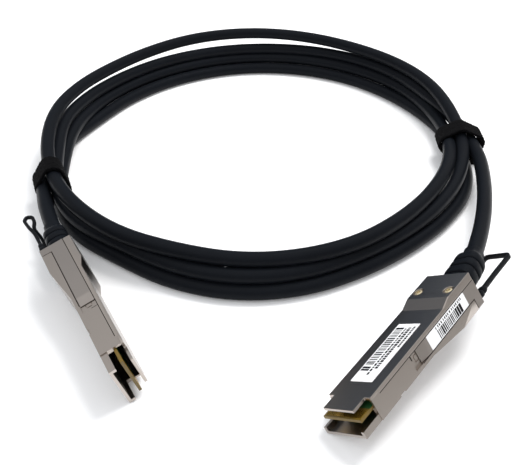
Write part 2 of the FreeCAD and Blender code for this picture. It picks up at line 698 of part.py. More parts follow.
def boot_rings():
    """How far behind the shell, how wide and how high, from the flange to the sleeve."""
    wall, clear = size("rear_wall"), 2 * size("boot_clearance")
    neck = (size("neck_width") - clear, size("neck_height") - clear)
    flange = (neck[0] + 2 * size("flange_rim"), size("2*(boot_centre - floor_thickness)") - 2 * clear)
    rings = [(-wall - size("flange_thickness"), *flange), (-wall, *flange), (-wall, *neck), (0, *neck)]
    base = (size("boot_width"), size("boot_height"))
    top = (size("boot_shoulder_width"), size("boot_shoulder_height"))
    middle = (size("boot_taper_width"), size("boot_taper_height"))
    collar, shoulder = size("boot_collar"), size("boot_shoulder")
    slots, slot, deep = int(size("boot_slots")), size("boot_slot"), size("boot_slot_depth")
    lead = slot / 4

    def ring(along, less=0.0):
        return (along, *(a + (b - a) * along / shoulder - 2 * less for a, b in zip(base, top)))

    rings.append(ring(0))
    for index in range(slots):
        at = collar + (shoulder - collar) * index / slots
        rings += [ring(at), ring(at + lead, deep), ring(at + slot, deep), ring(at + slot + lead)]
    sleeve = size("boot_sleeve")
    end = size("boot_shoulder_end")
    rings += [ring(shoulder), ((shoulder + end) / 2, middle[0], middle[1]), (end, sleeve, sleeve),
              (size("boot_length"), sleeve, sleeve)]
    return rings


def strain_relief_boot(name, side):
    """A moulded boot: flange and neck held by the shells, then a grooved body bent towards the cable."""
    frame = boot_frames(side)
    rings = boot_rings()
    spans = [rings[0:2], rings[2:4], rings[4:]]
    pieces = []
    for span in spans:
        wires = [faceted_section(wide, high, high * size("boot_corner"), *frame(along),
                                 facets=int(size("boot_facets")))
                 for along, wide, high in span]
        pieces.append(Part.makeLoft(wires, True, True))
    node = doc.addObject("Part::Feature", name)
    node.Shape = pieces[0].fuse(pieces[1:])
    node.Label = name
    return node


# ---------------------------------------------------------------- labels

def top_label(name):
    return group(name, [part_box(name + "_sheet",
                                 ("top_label_start", "top_label_start + top_label_length"),
                                 ("-top_label_width/2", "top_label_width/2"),
                                 ("front_height", "front_height + label_thickness"))])


def side_label(name):
    return group(name, [part_box(name + "_sheet",
                                 ("side_label_start", "side_label_start + side_label_length"),
                                 ("-body_width/2 - label_thickness", "-body_width/2"),
                                 ("seam_low + side_label_margin",
                                  "seam_high - arm_gap - side_label_margin"))])


# ---------------------------------------------------------------- cord paths

RADII = []


def rounded_path(points, share=0.45, corner=None):
    """Straight runs joined by tangent arcs, each as large as its two runs allow or of one radius."""
    edges = []
    here = points[0]
    for before, point, after in zip(points, points[1:], points[2:]):
        back = before - point
        on = after - point
        reach = share * min(back.Length, on.Length)
        back.normalize()
        on.normalize()
        turn = math.pi - back.getAngle(on)
        radius = reach / math.tan(turn / 2)
        if corner and corner < radius:
            radius = corner
            reach = radius * math.tan(turn / 2)
        start = point + back * reach
        end = point + on * reach
        inward = (back + on).normalize()
        centre = point + inward * (radius / math.cos(turn / 2))
        middle = centre - inward * radius
        edges.append(Part.LineSegment(here, start).toShape())
        edges.append(Part.Arc(start, middle, end).toShape())
        RADII.append(radius)
        here = end
    edges.append(Part.LineSegment(here, points[-1]).toShape())
    return Part.Wire(edges)


def tube(points, radius):
    path = rounded_path(points)
    direction = points[1] - points[0]
    ring = Part.Wire(Part.makeCircle(radius, points[0], direction))
    return path.makePipeShell([ring], True, False)


# ---------------------------------------------------------------- both plugs

def pose_of(side):
    place = Vector(*(size(f"{side}_{axis}") for axis in "xyz"))
    turn = FreeCAD.Rotation(*(size(f"{side}_{angle}") for angle in ("yaw", "pitch", "roll")))
    return FreeCAD.Placement(place, turn)


nodes = []
for side in ("right", "left"):
    plug = [
        bottom_shell(side + "_bottom_shell"),
        top_cover(side + "_top_cover"),
        cover_screws(side + "_cover_screws"),
        latch_slider(side + "_latch_slider"),
        return_springs(side + "_return_springs"),
        pull_lanyard(side + "_pull_lanyard", side),
        paddle_card(side + "_paddle_card"),
        contact_pads(side + "_contact_pads"),
        card_chips(side + "_card_chips"),
        twinax_pairs(side + "_twinax_pairs"),
        crimp_ferrule(side + "_crimp_ferrule"),
        strain_relief_boot(side + "_strain_relief_boot", side),
    ]
    if side == "right":
        plug += [top_label("right_top_label"), side_label("right_side_label")]
    for node in plug:
        node.Placement = pose_of(side)
    nodes += plug


# ---------------------------------------------------------------- the cable, its coil and ties

def oval(half_width, half_depth, end_radius):
    """Four tangent arcs about the origin."""
    off = half_depth - end_radius
    side_radius = (half_width ** 2 + off ** 2 - end_radius ** 2) / (2 * (half_width - end_radius))
    reach = side_radius - half_width
    direction = Vector(reach, off, 0).normalize()
    corner = Vector(0, off, 0) + direction * end_radius
    x, y = corner.x, corner.y
    edges = [
        Part.Arc(Vector(x, y, 0), Vector(0, half_depth, 0), Vector(-x, y, 0)).toShape(),
        Part.Arc(Vector(-x, y, 0), Vector(-half_width, 0, 0), Vector(-x, -y, 0)).toShape(),
        Part.Arc(Vector(-x, -y, 0), Vector(0, -half_depth, 0), Vector(x, -y, 0)).toShape(),
        Part.Arc(Vector(x, -y, 0), Vector(half_width, 0, 0), Vector(x, y, 0)).toShape(),
    ]
    return Part.Wire(edges)


def coil_point(angle):
    """A point of the coil's middle line, and the direction along it, seen at an angle from its centre."""
    wire = oval(size("coil_half_width"), size("coil_half_depth"), size("coil_half_width - coil_end_less"))
    far = 2 * size("coil_half_depth")
    ray = Part.makeLine(Vector(), Vector(far * math.cos(angle), far * math.sin(angle), 0))
    point = ray.distToShape(wire)[1][0][0]
    edge = min(wire.Edges, key=lambda e: e.distToShape(Part.Vertex(point))[0])
    along = edge.tangentAt(edge.Curve.parameter(point))
    return point, along if point.cross(along).z > 0 else along * -1


def cable_coil(name):
    """The outer shape of the coil's tied bundle: an oval ring of short runs with bevelled edges."""
    height = size("bundle_height")
    runs = int(size("coil_runs"))
    rings = []
    for index in range(runs):
        point, along = coil_point(2 * math.pi * index / runs)
        rings.append(faceted_section(size("bundle_width"), height, size("bundle_corner"),
                                     point + Vector(0, 0, height / 2), heading(along)))
    node = doc.addObject("Part::Feature", name)
    node.Shape = Part.makeLoft(rings, True, True, True)
    node.Placement = FreeCAD.Placement(
        Vector(size("coil_x"), size("coil_y"), size("tie_thickness + tie_gap")), FreeCAD.Rotation())
    node.Label = name
    return node


def cable_tie(name, angle_alias):
    """A hook-and-loop strap: a closed band round the bundle with its free end standing out."""
    angle = math.radians(size(angle_alias))
    point, along = coil_point(angle)
    gap, thick, wide = size("tie_gap"), size("tie_thickness"), size("tie_width")
    width, height = size("bundle_width") + 2 * gap, size("bundle_height") + 2 * gap
    corner = size("bundle_corner") + gap
    outer, inner = (
        Part.Face(faceted_section(width + grow, height + grow, corner + grow / 2, Vector(-wide / 2, 0, 0),
                                  FreeCAD.Rotation(), int(size("tie_facets")))).extrude(Vector(wide, 0, 0))
        for grow in (2 * thick, 0))
    band = outer.cut(inner)
    tab_width, reach = size("tie_tab_width"), size("tie_tab") + thick / 3
    tab = Part.makeBox(tab_width, reach, thick)
    tab.translate(Vector(-tab_width / 2, -width / 2 - thick * 2 / 3 - reach, -thick * 2))
    shape = band.fuse(tab)
    node = doc.addObject("Part::Feature", name)
    node.Shape = shape
    node.Placement = FreeCAD.Placement(
        Vector(size("coil_x") + point.x, size("coil_y") + point.y, height / 2 + thick),
        FreeCAD.Rotation(Vector(1, 0, 0), along))
    node.Label = name
    return node


TAILS = {
    # hand-chosen route from the end of each lead to the side of the coil
    "right": [(96.0, 63.0, 15.9), (103.4, 93.0, 13.1), (107.0, 117.9, 11.8)],
    "left": [(-92.6, 76.0, 11.3), (-96.2, 88.4, 10.8)],
}


def cable_tail(name, side):
    place, rotation = boot_frames(side)(size("boot_length"))
    pose = pose_of(side)
    start = pose.multVec(place)
    direction = pose.Rotation.multVec(rotation.multVec(Vector(1, 0, 0)))
    points = [start, start + direction * size("tail_lead")] + [Vector(*point) for point in TAILS[side]]
    RADII.clear()
    solid = tube(points, size("cable_diameter") / 2)
    lengths = sum((b - a).Length for a, b in zip(points, points[1:]))
    path_length = solid.Volume / (math.pi * size("cable_diameter") ** 2 / 4)
    print(name, "start", [round(v, 2) for v in start],
          "direction", [round(v, 3) for v in direction])
    print(name, "runs", round(lengths, 1), "length by volume", round(path_length, 1),
          "radii", [round(radius, 1) for radius in RADII])
    node = doc.addObject("Part::Feature", name)
    node.Shape = solid
    node.Label = name
    return node


nodes += [
    cable_tail("cable_tail_right", "right"),
    cable_tail("cable_tail_left", "left"),
    cable_coil("cable_coil"),
    cable_tie("cable_tie_right", "right_tie_angle"),
    cable_tie("cable_tie_left", "left_tie_angle"),
]

# ---------------------------------------------------------------- check and write

doc.recompute()
for item in doc.Objects:
    if "Invalid" in item.State or "Error" in item.State:
        raise RuntimeError(f"{item.Label} failed: {item.State}")
os.makedirs("parts", exist_ok=True)
for node in nodes:
    shape = node.Shape
    if shape.isNull() or not shape.isValid() or not shape.Solids:
        raise RuntimeError(f"{node.Label} has no valid solid")
    shape.exportStep(os.path.join("parts", node.Label + ".step"))
    box = shape.BoundBox
    print(f"{node.Label:28s} solids {len(shape.Solids):3d} volume {shape.Volume:10.1f} "
          f"x {box.XMin:7.2f} {box.XMax:7.2f} y {box.YMin:7.2f} {box.YMax:7.2f} "
          f"z {box.ZMin:6.2f} {box.ZMax:6.2f}")
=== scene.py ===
"""Dresses a direct attach copper cable: two metal plugs, boots, pull lanyards and one tied coil of cable.

Sizes are in millimetres; what Blender gets in metres is multiplied by MM.
"""
import json
import math
import random

import bmesh
import bpy
from mathutils import Matrix, Vector, noise as cloud


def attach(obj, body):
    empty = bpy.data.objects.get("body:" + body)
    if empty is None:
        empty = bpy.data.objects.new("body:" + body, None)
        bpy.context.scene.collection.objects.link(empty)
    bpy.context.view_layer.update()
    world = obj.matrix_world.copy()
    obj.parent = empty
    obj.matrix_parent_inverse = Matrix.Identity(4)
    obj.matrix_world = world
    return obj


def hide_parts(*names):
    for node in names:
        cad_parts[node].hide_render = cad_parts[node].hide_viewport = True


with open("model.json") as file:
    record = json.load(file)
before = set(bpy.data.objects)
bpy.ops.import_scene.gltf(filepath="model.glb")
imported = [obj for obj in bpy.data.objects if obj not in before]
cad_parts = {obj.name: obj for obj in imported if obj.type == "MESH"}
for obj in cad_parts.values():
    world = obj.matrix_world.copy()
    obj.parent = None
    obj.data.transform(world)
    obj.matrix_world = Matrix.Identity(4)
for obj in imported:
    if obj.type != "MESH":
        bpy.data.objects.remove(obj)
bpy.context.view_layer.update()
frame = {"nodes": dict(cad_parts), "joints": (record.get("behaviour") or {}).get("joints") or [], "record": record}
record = frame["record"]
scene = bpy.context.scene
MM = 0.001
SIDES = ("right", "left")
UP = Vector((0, 0, 1))

# ---------------------------------------------------------------- the plug's sizes, and places taken from the frame

UNDERSIDE_BACK = 30.0             # the underside mount, behind the tip of the plug's lower tongue
PLUG_LENGTH = 70.4
PLUG_HEIGHT = 8.5
HALF_PLUG = 9.175                 # from the plug's middle to its side face
BOOT_CENTRE = 4.5


def plug_frame(side):
    """From a plug's own frame in millimetres (x to its rear, z up) to the frame of the whole part."""
    mount = next(m for m in record["mounts"] if m["name"] == f"{side}_plug_underside")
    joint = next(j for j in frame["joints"] if j["name"] == f"{side}_latch_slide")
    along = Vector(joint["axis"]).normalized()
    up = -Vector(mount["axis"]).normalized()
    across = up.cross(along).normalized()
    tip = Vector(mount["pos_m"]) - along * (UNDERSIDE_BACK * MM)
    turn = Matrix((along, across, up)).transposed().to_4x4()
    return Matrix.Translation(tip) @ turn @ Matrix.Scale(MM, 4)


PLUG = {side: plug_frame(side) for side in SIDES}


# ---------------------------------------------------------------- shader nodes

def feed(tree, socket, source):
    """Links a socket to another one, or sets it to a plain number or colour."""
    if isinstance(source, bpy.types.NodeSocket):
        tree.links.new(source, socket)
    else:
        socket.default_value = source


def new_group(name, inputs, outputs):
    """A shader node group with named sockets: (name, kind, default) for an input, (name, kind) for an output."""
    tree = bpy.data.node_groups.new(name, "ShaderNodeTree")
    for label, kind, default in inputs:
        socket = tree.interface.new_socket(name=label, in_out="INPUT", socket_type="NodeSocket" + kind)
        if default is not None:
            socket.default_value = default
    for label, kind in outputs:
        tree.interface.new_socket(name=label, in_out="OUTPUT", socket_type="NodeSocket" + kind)
    return tree, tree.nodes.new("NodeGroupInput"), tree.nodes.new("NodeGroupOutput")


def noise(tree, vector, scale, detail):
    """Cloudy values round a half."""
    node = tree.nodes.new("ShaderNodeTexNoise")
    node.inputs["Detail"].default_value = detail
    node.inputs["Roughness"].default_value = 0.55
    feed(tree, node.inputs["Vector"], vector)
    feed(tree, node.inputs["Scale"], scale)
    return node.outputs["Fac"]


def maths(tree, operation, first, second):
    """The result of one operation on two numbers."""
    node = tree.nodes.new("ShaderNodeMath")
    node.operation = operation
    feed(tree, node.inputs[0], first)
    feed(tree, node.inputs[1], second)
    return node.outputs[0]


def spread(tree, value, low, high):
    """A cloudy value laid out between low and high."""
    node = tree.nodes.new("ShaderNodeMapRange")
    for label, source in (("Value", value), ("From Min", 0.3), ("From Max", 0.7), ("To Min", low), ("To Max", high)):
        feed(tree, node.inputs[label], source)
    return node.outputs["Result"]


def mix_colours(tree, share, first, second, blend="MIX"):
    """Two colours mixed; 0, 6, 7 and 2 are the mix node's sockets for colours."""
    node = tree.nodes.new("ShaderNodeMix")
    node.data_type, node.blend_type = "RGBA", blend
    for index, source in ((0, share), (6, first), (7, second)):
        feed(tree, node.inputs[index], source)
    return node.outputs[2]


def make_grain():
    """Uneven tone, gloss and a fine skin: two scales of noise, in any material."""
    tree, given, put = new_group(
        "surface_grain",
        [("Vector", "Vector", None), ("Scale", "Float", 900.0), ("Light", "Color", (1, 1, 1, 1)),
         ("Dark", "Color", (0, 0, 0, 1)), ("Smoothest", "Float", 0.3), ("Roughest", "Float", 0.5)],
        [("Color", "Color"), ("Roughness", "Float"), ("Height", "Float")])
    fine = noise(tree, given.outputs["Vector"], given.outputs["Scale"], detail=3.0)
    broad = noise(tree, given.outputs["Vector"], 60.0, detail=2.0)
    both = maths(tree, "ADD", maths(tree, "MULTIPLY", fine, 0.5), maths(tree, "MULTIPLY", broad, 0.5))
    tone = mix_colours(tree, both, given.outputs["Dark"], given.outputs["Light"])
    gloss = spread(tree, both, given.outputs["Smoothest"], given.outputs["Roughest"])
    for label, value in (("Color", tone), ("Roughness", gloss), ("Height", fine)):
        feed(tree, put.inputs[label], value)
    return tree


GRAIN = make_grain()


# ---------------------------------------------------------------- materials

def rgb(red, green, blue):
    """A colour from screen values of 0 to 255, as the shader reads it."""
    return tuple(((v / 255 + 0.055) / 1.055) ** 2.4 if v > 10 else v / 255 / 12.92
                 for v in (red, green, blue)) + (1.0,)


def finish(name, light, dark, gloss, scale, bump=0.0, depth=0.02 * MM, **sockets):
    """A material of two tones in the shared grain; gloss is one roughness, or two that the grain lies between."""
    material = bpy.data.materials.new(name)
    material.use_nodes = True
    tree = material.node_tree
    shader = tree.nodes["Principled BSDF"]
    for label, value in sockets.items():
        shader.inputs[label.replace("_", " ")].default_value = value
    grain = tree.nodes.new("ShaderNodeGroup")
    grain.node_tree = GRAIN
    place = tree.nodes.new("ShaderNodeTexCoord").outputs["Object"]
    for label, value in (("Vector", place), ("Scale", scale), ("Light", light), ("Dark", dark)):
        feed(tree, grain.inputs[label], value)
    feed(tree, shader.inputs["Base Color"], grain.outputs["Color"])
    if isinstance(gloss, float):
        shader.inputs["Roughness"].default_value = gloss
    else:
        grain.inputs["Smoothest"].default_value, grain.inputs["Roughest"].default_value = gloss
        feed(tree, shader.inputs["Roughness"], grain.outputs["Roughness"])
    if bump:
        lift = tree.nodes.new("ShaderNodeBump")
        for label, value in (("Strength", bump), ("Distance", depth), ("Height", grain.outputs["Height"])):
            feed(tree, lift.inputs[label], value)
        feed(tree, shader.inputs["Normal"], lift.outputs["Normal"])
    return material


NICKEL = finish("satin_nickel", rgb(182, 174, 167), rgb(178, 170, 163), 0.28, 2600.0, Metallic=1.0)
SLIDER = finish("brushed_slider", rgb(178, 171, 165), rgb(166, 159, 154), 0.3, 2600.0, Metallic=1.0)
BRASS = finish("bright_screw", rgb(240, 228, 196), rgb(216, 200, 160), (0.3, 0.4), 2500.0, 0.1, Metallic=0.55)
SPRING = finish("drawn_wire", rgb(190, 192, 196), rgb(150, 152, 156), (0.2, 0.35), 3000.0, 0.1, Metallic=1.0)
JACKET = finish("cable_jacket", rgb(21, 24, 29), rgb(14, 16, 20), (0.34, 0.44), 1600.0, 0.1,
                Specular_IOR_Level=0.06)
MOULDED = finish("moulded_boot", rgb(20, 23, 28), rgb(13, 15, 19), (0.36, 0.48), 2200.0, 0.15,
                 Specular_IOR_Level=0.08)
LANYARD = finish("soft_lanyard", rgb(20, 22, 26), rgb(12, 13, 16), (0.35, 0.5), 2400.0, 0.15,
                 Specular_IOR_Level=0.12)
VELVET = finish("hook_and_loop", rgb(13, 13, 15), rgb(4, 4, 5), (0.9, 1.0), 2600.0, 1.0, 0.25 * MM,
                Specular_IOR_Level=0.04, Sheen_Weight=0.015, Sheen_Roughness=0.6)
PAPER = finish("label_paper", rgb(246, 247, 249), rgb(232, 234, 238), (0.5, 0.65), 3000.0, 0.05,
               Specular_IOR_Level=0.25)
INK = finish("label_ink", rgb(30, 30, 34), rgb(16, 16, 20), (0.6, 0.75), 3000.0, 0.05, Specular_IOR_Level=0.2)
BOARD = finish("bare_card", rgb(122, 98, 34), rgb(86, 70, 26), (0.35, 0.5), 900.0, 0.1)
MASK = finish("card_mask", rgb(36, 84, 44), rgb(22, 58, 32), (0.3, 0.42), 2000.0, 0.1)
# painted shadow: a dark colour for the strips that stand in for the shade inside the seams' gaps
SEAM_SHADE = finish("seam_shadow", rgb(40, 36, 34), rgb(24, 22, 21), (0.7, 0.9), 2000.0, 0.05, Specular_IOR_Level=0.05)
GOLD = finish("contact_gold", rgb(222, 184, 84), rgb(190, 150, 56), (0.2, 0.34), 3000.0, 0.1, Metallic=1.0)
CHIP = finish("chip_resin", rgb(30, 30, 32), rgb(18, 18, 20), (0.5, 0.65), 2600.0, 0.2)
PAIR = finish("pair_jacket", rgb(206, 208, 212), rgb(176, 178, 184), (0.3, 0.5), 1800.0, 0.2, Metallic=0.7)
FERRULE = finish("crimped_ferrule", rgb(206, 196, 176), rgb(180, 170, 150), (0.25, 0.4), 1800.0, 0.2,
                 Metallic=1.0)


# ---------------------------------------------------------------- mesh helpers

def add_piece(name, bm, material, body="root", smooth=40.0, place=None):
    """A finished mesh at the origin, with its place in its vertices, riding on a body."""
    if place is not None:
        bmesh.ops.transform(bm, matrix=place, verts=bm.verts)
    bmesh.ops.recalc_face_normals(bm, faces=bm.faces)
    for face in bm.faces:
        face.smooth = True
    for edge in bm.edges:
        if len(edge.link_faces) == 2:
            edge.smooth = edge.calc_face_angle(0.0) < math.radians(smooth)
    mesh = bpy.data.meshes.new(name)
    bm.to_mesh(mesh)
    bm.free()
    mesh.materials.append(material)
    piece = bpy.data.objects.new(name, mesh)
    scene.collection.objects.link(piece)
    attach(piece, body)
    return piece


def rounded_outline(bm, width, height, corner, steps):
    """A closed loop of edges across the x axis: a rectangle with round corners."""
    verts = bmesh.ops.create_circle(bm, segments=4, radius=math.sqrt(0.5))["verts"]
    for turn, axis in ((math.pi / 4, "Z"), (math.pi / 2, "Y")):
        bmesh.ops.rotate(bm, verts=verts, cent=(0, 0, 0), matrix=Matrix.Rotation(turn, 3, axis))
    bmesh.ops.scale(bm, verts=verts, vec=(1, width, height))
    bmesh.ops.bevel(bm, geom=verts, affect="VERTICES", offset=corner, offset_type="OFFSET", segments=steps,
                    profile=0.5, material=-1)
    return list(bm.edges)


def extrude_ring(bm, ring):
    """Extrudes a ring of edges on the spot, and gives the new ring and its verts."""
    made = bmesh.ops.extrude_edge_only(bm, edges=ring)["geom"]
    verts = [g for g in made if isinstance(g, bmesh.types.BMVert)]
    return [g for g in made if isinstance(g, bmesh.types.BMEdge) and all(v in verts for v in g.verts)], verts


def run_along(bm, start, frames):
    """Extrudes a ring from frame to frame and closes its ends; each frame is a matrix that may also scale it."""
    bmesh.ops.transform(bm, matrix=frames[0], verts=list({v for e in start for v in e.verts}))
    ring = start
    for before, after in zip(frames, frames[1:]):
        ring, verts = extrude_ring(bm, ring)
        bmesh.ops.transform(bm, matrix=after @ before.inverted(), verts=verts)
    for end in (start, ring):
        bmesh.ops.contextual_create(bm, geom=end)


def lay_strip(bm, width, height, place):
    """A flat rectangle of one face round the origin, then turned and moved by a matrix."""
    strip = bmesh.ops.create_grid(bm, x_segments=1, y_segments=1, size=0.5)["verts"]
    bmesh.ops.scale(bm, verts=strip, vec=(width, height, 1))
    bmesh.ops.transform(bm, verts=strip, matrix=place)


def look_along(point, direction, up, width=1.0, height=1.0):
    """A frame at a point: x along the direction, z near up, y and z scaled."""
    x = direction.normalized()
    y = up.cross(x).normalized()
    turn = Matrix((x, y, x.cross(y))).transposed().to_4x4()
    return Matrix.Translation(point) @ turn @ Matrix.Diagonal((1, width, height, 1))


def path_frames(path, up_for):
    """A frame at each point of a path; up_for gives the upward side for a direction."""
    frames = []
    for index, point in enumerate(path):
        direction = path[min(index + 1, len(path) - 1)] - path[max(index - 1, 0)]
        frames.append(look_along(point, direction, up_for(direction)))
    return frames


def soften_corners(points, reach, steps):
    """A strap's path whose corners are replaced by small curves."""
    path = [points[0]]
    for before, point, after in zip(points, points[1:], points[2:]):
        back, on = before - point, after - point
        near = min(reach, 0.45 * back.length, 0.45 * on.length)
        first, last = point + back.normalized() * near, point + on.normalized() * near
        for step in range(steps + 1):
            t = step / steps
            path.append(first * (1 - t) ** 2 + point * 2 * t * (1 - t) + last * t ** 2)
    return path + [points[-1]]


# ---------------------------------------------------------------- the cable

CABLE = 6.4                       # its diameter
COIL_X, COIL_Y = 1.47, 134.87
HALF_WIDTH, HALF_DEPTH = 98.35, 111.5
STEP = 15                         # degrees of the coil from one of the route's points to the next

RIGHT_TAIL = [(81.65, 24.81, 18.69), (87.25, 37.59, 17.64), (96.0, 63.0, 15.9), (103.4, 93.0, 13.1),
              (107.0, 117.9, 11.8)]
LEFT_TAIL = [(-96.2, 88.4, 10.8), (-92.6, 76.0, 11.3), (-88.2, 63.25, 12.5), (-82.48, 50.48, 12.76)]

# how the turns lie: degrees round the coil, how far out of its middle line, height
LAY = [
    (10, 3.3, 12.6), (20, -0.4, 13.8), (30, 1.8, 14.6), (45, 4.8, 13.8), (60, 4.6, 13.9), (90, 1.5, 14.0),
    (120, 0.3, 14.0), (150, 0.3, 14.0), (165, 2.0, 14.2), (171, 2.2, 14.8), (178, 1.9, 14.2), (185, 0.5, 13.0),
    (195, -1.5, 11.4), (203, 1.4, 9.8), (210, 4.2, 9.4), (218, 3.8, 9.6), (226, 0.3, 9.6), (235, -2.2, 9.3),
    (248, -0.8, 9.0), (270, 0.4, 8.8), (300, -6.5, 8.5), (315, -5.4, 8.6), (330, -3.0, 9.0), (343, 0.2, 9.4),
    (351, 2.0, 11.4), (363, 1.0, 17.0), (370, 0.2, 19.0), (380, 0.8, 20.0), (390, 3.6, 20.7), (405, 3.2, 20.6),
    (420, 4.1, 21.1), (435, 4.7, 22.1), (450, 3.3, 23.5), (470, 5.4, 22.8), (490, 4.0, 21.2), (510, 2.8, 20.6),
    (525, 5.6, 20.4), (531, 5.3, 20.8), (538, 5.0, 20.0), (545, 4.3, 19.3), (555, 3.3, 17.8), (563, 3.2, 16.2),
    (570, 2.6, 15.8), (578, 1.6, 15.8), (586, 0.8, 15.9), (595, 0.0, 15.4), (608, -3.3, 14.8), (630, -4.4, 13.3),
    (660, -5.6, 14.8), (675, -8.9, 14.0), (690, -7.9, 13.4), (703, -6.0, 13.4), (711, -5.1, 13.0),
    (723, -4.2, 10.0), (730, -2.2, 9.0), (740, -0.9, 8.4), (750, 1.8, 8.4), (765, 2.0, 8.4), (780, 1.5, 8.5),
    (810, 0.2, 8.5), (840, -1.8, 8.4), (870, -1.1, 7.8), (885, -1.5, 8.6), (891, -1.8, 9.6), (898, -1.8, 8.7),
    (905, -2.6, 7.0), (915, -1.6, 4.2), (923, 1.2, 3.4), (930, 5.0, 3.4), (938, 4.4, 3.4), (946, 2.0, 3.4),
    (955, -0.1, 3.4), (968, 1.8, 3.4), (990, 3.4, 3.4), (1020, -3.0, 3.4), (1035, -2.1, 3.4), (1050, 1.2, 3.4),
    (1063, 4.5, 3.4), (1071, 4.0, 3.4), (1083, 1.2, 3.4), (1090, 0.2, 3.4), (1100, 0.5, 3.4), (1110, -3.5, 3.4),
    (1125, -1.7, 3.4), (1140, -2.5, 3.4), (1170, -3.8, 3.4), (1200, -5.8, 3.4), (1230, -6.0, 3.4),
    (1245, -5.2, 3.4), (1251, -1.5, 3.4), (1258, 2.2, 3.4), (1265, 3.5, 4.5), (1275, 5.0, 9.0)]


def lay_at(angle):
    """How far out and how high the cable lies at an angle, counted on through all its turns."""
    for (a, out_a, high_a), (b, out_b, high_b) in zip(LAY, LAY[1:]):
        if a <= angle <= b:
            share = (angle - a) / (b - a)
            return out_a + (out_b - out_a) * share, high_a + (high_b - high_a) * share
    raise ValueError(f"the cable has no turn at {angle} degrees")


def coil_place(angle, out, high, stretch=1.0):
    """A place on the coil's oval: how far out of its middle line, and how high."""
    turn = math.radians(angle)
    return Vector((COIL_X + (HALF_WIDTH + out) * stretch * math.cos(turn),
                   COIL_Y + (HALF_DEPTH + out) * stretch * math.sin(turn), high))


def cable_route():
    """The route's points: tail, turns and tail. The turns' points lie a little outside the cable that they lead."""
    outside = 1 / math.cos(math.radians(STEP / 2))
    turns = [coil_place(angle, *lay_at(angle), outside) for angle in range(LAY[0][0], LAY[-1][0] + 1, STEP)]
    return [Vector(p) for p in RIGHT_TAIL] + turns + [Vector(p) for p in LEFT_TAIL]


def lay_cable():
    """The whole cable from boot to boot, as one smooth curve."""
    curve = bpy.data.curves.new("jacketed_cable", "CURVE")
    curve.dimensions = "3D"
    spline = curve.splines.new("NURBS")
    route = cable_route()
    spline.points.add(len(route) - 1)
    for point, place in zip(spline.points, route):
        point.co = (*(place * MM), 1.0)
    spline.order_u = 3
    spline.use_endpoint_u = True
    spline.resolution_u = 6
    curve.bevel_depth = CABLE / 2 * MM
    curve.bevel_resolution = 7
    curve.use_fill_caps = True
    curve.materials.append(JACKET)
    cable = bpy.data.objects.new("jacketed_cable", curve)
    scene.collection.objects.link(cable)
    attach(cable, "root")
    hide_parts("cable_tail_right", "cable_tail_left", "cable_coil")
    return cable


cable = lay_cable()


# ---------------------------------------------------------------- the ties

STRAP_WIDTH, STRAP_THICKNESS = 11.4, 1.3
STRAP_GAP = 0.55                  # from the cable's skin to the middle of the strap's first turn
WIND_STEP, WIND_STEPS = 6, 69     # degrees from point to point: one turn and a short lap
WIND_RISE = 0.018                 # each step lies this much further from the cable
STRAP_LOWEST = 0.75
FREE_END = (1.5, 3.0, 4.5, 6.0)
FUZZ, FRAY = 0.28, 0.3            # how rough the strap's face and its edges are
TABLE_GAP = 0.05


def make_tie(name, node, angle, turns, tail, start):
    """A hook-and-loop strap wound round the strands at one place, with a rough face and a free end.

    It holds the coil's turns and a tail, given by how far out and how high it lies. The winding begins at start.
    """
    strands = [lay_at(angle + turn * 360) for turn in turns] + [tail]
    centre = coil_place(angle, 0, 0)
    along = (coil_place(angle + 1, 0, 0) - coil_place(angle - 1, 0, 0)).normalized()
    outward = along.cross(UP).normalized()
    path = []
    for step in range(WIND_STEPS):
        turn = math.radians(start + step * WIND_STEP)
        aim = (math.cos(turn), math.sin(turn))
        out, high = max(strands, key=lambda s: s[0] * aim[0] + s[1] * aim[1])
        lift = CABLE / 2 + STRAP_GAP + WIND_RISE * step
        path.append(centre + outward * (out + aim[0] * lift) + UP * max(high + aim[1] * lift, STRAP_LOWEST))
    last = (path[-1] - path[-3]).normalized()
    path += [path[-1] + last * far for far in FREE_END]
    bm = bmesh.new()
    outline = rounded_outline(bm, STRAP_WIDTH, STRAP_THICKNESS, 0.45, 2)
    run_along(bm, outline, path_frames(path, lambda direction: direction.cross(along)))
    bmesh.ops.recalc_face_normals(bm, faces=bm.faces)
    for longest, cuts in ((2.0, 16), (0.8, 1)):
        edges = [e for e in bm.edges if e.calc_length() > longest]
        bmesh.ops.subdivide_edges(bm, edges=edges, cuts=cuts, use_grid_fill=True)
    bm.normal_update()
    for vert in bm.verts:
        rough = cloud.noise(vert.co * 1.9) + 0.6 * cloud.noise(vert.co * 4.3)
        frayed = cloud.noise(vert.co * 1.3 + Vector((7, 0, 0)))
        vert.co += vert.normal * rough * FUZZ + along * frayed * FRAY
        vert.co.z = max(vert.co.z, TABLE_GAP)
    tie = add_piece(name, bm, VELVET, smooth=60.0, place=Matrix.Scale(MM, 4))
    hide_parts(node)
    return tie


ties = [make_tie("right_strap_tie", "cable_tie_right", -2.2, (1, 2, 3), (8.0, 11.6), 250),
        make_tie("left_strap_tie", "cable_tie_left", 203.2, (0, 1, 2), (6.9, 10.8), 200)]


# ---------------------------------------------------------------- boots

